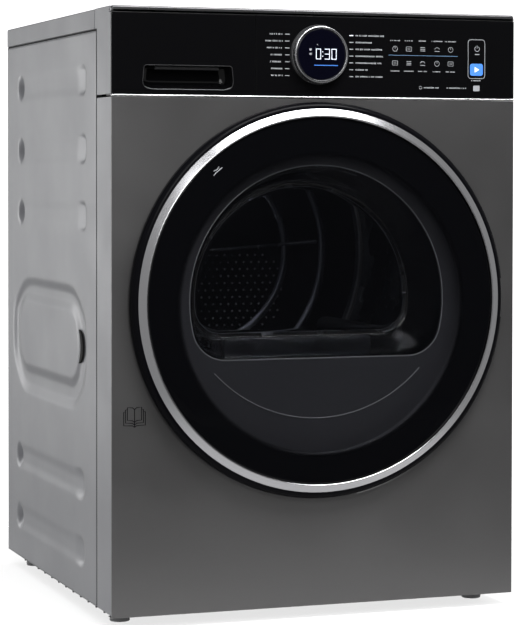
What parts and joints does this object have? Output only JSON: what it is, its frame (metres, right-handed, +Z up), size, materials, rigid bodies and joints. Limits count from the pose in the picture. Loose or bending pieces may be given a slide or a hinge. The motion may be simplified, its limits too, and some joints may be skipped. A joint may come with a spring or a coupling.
{
  "type": "clothes dryer",
  "caption": "Free-standing front-loading heat-pump tumble dryer with a round glazed door, turning drum, pull-out water container and ring knob.",
  "frame": {"origin": "on the floor, in the middle of the machine's overall width and depth", "axes": "+Z up, the door faces -Y, +X to the right of someone who looks at the door"},
  "size_m": [0.595, 0.64, 0.845],
  "materials": {
    "side_enamel": "satin enamel",
    "graphite": "metallic satin enamel",
    "galvanised": "dull galvanised",
    "worktop": "satin laminate",
    "trim_metal": "metallic",
    "gloss_black": "gloss",
    "housing_grey": "satin moulded",
    "bright_trim": "satin chrome",
    "dark_plastic": "fine moulded",
    "grey_plastic": "moulded",
    "board": "solder mask",
    "felt": "felt",
    "rubber": "matt",
    "door_pane": "dark gloss",
    "bowl_glass": "clear",
    "drum_steel": "brushed stainless",
    "motor": "cast and wound",
    "steel": "machined",
    "compressor_black": "black enamel",
    "fins": "bare",
    "copper": "bare copper",
    "clear_plastic": "translucent"
  },
  "bodies": {
    "cabinet": {"base_tray": "dark_plastic", "side_panel_left": "side_enamel", "side_panel_right": "side_enamel", "front_pillar_left": "side_enamel", "front_pillar_right": "side_enamel", "front_panel": "graphite", "back_panel": "galvanised", "rear_cover": "galvanised", "top_cover": "worktop", "top_trim": "trim_metal", "fascia_housing": "housing_grey", "fascia_glass": "gloss_black", "silver_trim": "bright_trim", "control_board": "board", "knob_display": "gloss_black", "front_shield": "dark_plastic", "mouth_funnel": "dark_plastic", "filter_housing": "dark_plastic", "rear_shield": "galvanised", "rear_flange": "galvanised", "drum_felts": "felt", "tank_tray": "dark_plastic", "door_lock": "dark_plastic", "hinge_bracket": "steel", "motor_stator": "motor", "blower_housing": "dark_plastic", "drive_belt": "rubber", "compressor": "compressor_black", "heat_exchangers": "fins", "refrigerant_pipes": "copper", "condensate_pump": "dark_plastic", "drain_spigot": "dark_plastic", "mains_gland": "dark_plastic"},
    "door": {"door_rim": "gloss_black", "door_chrome_ring": "bright_trim", "door_glass": "door_pane", "door_inner_plate": "dark_plastic", "door_bowl": "bowl_glass", "door_seal": "rubber", "latch_hook": "steel", "hinge_pin": "steel"},
    "drum": {"drum_shell": "drum_steel", "drum_front_wall": "drum_steel", "drum_lifters": "grey_plastic"},
    "rotor": {"motor_rotor": "steel", "blower_wheel": "dark_plastic"},
    "roller_fl": {"roller_front_left": "dark_plastic"},
    "roller_fr": {"roller_front_right": "dark_plastic"},
    "roller_bl": {"roller_back_left": "dark_plastic"},
    "roller_br": {"roller_back_right": "dark_plastic"},
    "fan": {"cooling_fan": "dark_plastic"},
    "knob": {"knob_ring": "bright_trim"},
    "tank": {"drawer_front": "gloss_black", "tank_body": "clear_plastic"},
    "outer_filter": {"filter_outer": "grey_plastic"},
    "inner_filter": {"filter_inner": "grey_plastic"},
    "foot_fl": {"foot_front_left": "rubber"},
    "foot_fr": {"foot_front_right": "rubber"},
    "foot_bl": {"foot_back_left": "rubber"},
    "foot_br": {"foot_back_right": "rubber"}
  },
  "joints": [
    {"name": "door_hinge", "type": "hinge", "parent": "cabinet", "child": "door", "pos_m": [0.266, -0.308, 0.443], "axis": [0, 0, 1], "range_deg": [0, 150]},
    {"name": "drum_spin", "type": "hinge", "parent": "cabinet", "child": "drum", "pos_m": [0, 0, 0.492], "axis": [0, 1, 0], "continuous": true},
    {"name": "rotor_spin", "type": "hinge", "parent": "cabinet", "child": "rotor", "pos_m": [0.13, 0, 0.118], "axis": [0, 1, 0], "continuous": true},
    {"name": "fan_spin", "type": "hinge", "parent": "cabinet", "child": "fan", "pos_m": [0.266, 0.006, 0.095], "axis": [1, 0, 0], "continuous": true},
    {"name": "knob_spin", "type": "hinge", "parent": "cabinet", "child": "knob", "pos_m": [0, -0.296, 0.7835], "axis": [0, -1, 0], "continuous": true},
    {"name": "tank_slide", "type": "slide", "parent": "cabinet", "child": "tank", "axis": [0, -1, 0], "range_m": [0, 0.4]},
    {"name": "outer_filter_lift", "type": "slide", "parent": "cabinet", "child": "outer_filter", "axis": [0, 0, 1], "range_m": [0, 0.1]},
    {"name": "inner_filter_lift", "type": "slide", "parent": "outer_filter", "child": "inner_filter", "axis": [0, 0, 1], "range_m": [0, 0.095]},
    {"name": "roller_fl_spin", "type": "hinge", "parent": "cabinet", "child": "roller_fl", "pos_m": [-0.17282, -0.176, 0.24519], "axis": [0, 1, 0], "continuous": true},
    {"name": "roller_fr_spin", "type": "hinge", "parent": "cabinet", "child": "roller_fr", "pos_m": [0.17282, -0.176, 0.24519], "axis": [0, 1, 0], "continuous": true},
    {"name": "roller_bl_spin", "type": "hinge", "parent": "cabinet", "child": "roller_bl", "pos_m": [-0.17282, 0.239, 0.24519], "axis": [0, 1, 0], "continuous": true},
    {"name": "roller_br_spin", "type": "hinge", "parent": "cabinet", "child": "roller_br", "pos_m": [0.17282, 0.239, 0.24519], "axis": [0, 1, 0], "continuous": true},
    {"name": "foot_fl_screw", "type": "slide", "parent": "cabinet", "child": "foot_fl", "axis": [0, 0, 1], "range_m": [-0.015, 0]},
    {"name": "foot_fr_screw", "type": "slide", "parent": "cabinet", "child": "foot_fr", "axis": [0, 0, 1], "range_m": [-0.015, 0]},
    {"name": "foot_bl_screw", "type": "slide", "parent": "cabinet", "child": "foot_bl", "axis": [0, 0, 1], "range_m": [-0.015, 0]},
    {"name": "foot_br_screw", "type": "slide", "parent": "cabinet", "child": "foot_br", "axis": [0, 0, 1], "range_m": [-0.015, 0]}
  ],
  "couplings": [
    {"joint": "rotor_spin", "follows": "drum_spin", "ratio": 29.789},
    {"joint": "roller_fl_spin", "follows": "drum_spin", "ratio": -15.722},
    {"joint": "roller_fr_spin", "follows": "drum_spin", "ratio": -15.722},
    {"joint": "roller_bl_spin", "follows": "drum_spin", "ratio": -15.722},
    {"joint": "roller_br_spin", "follows": "drum_spin", "ratio": -15.722}
  ]
}
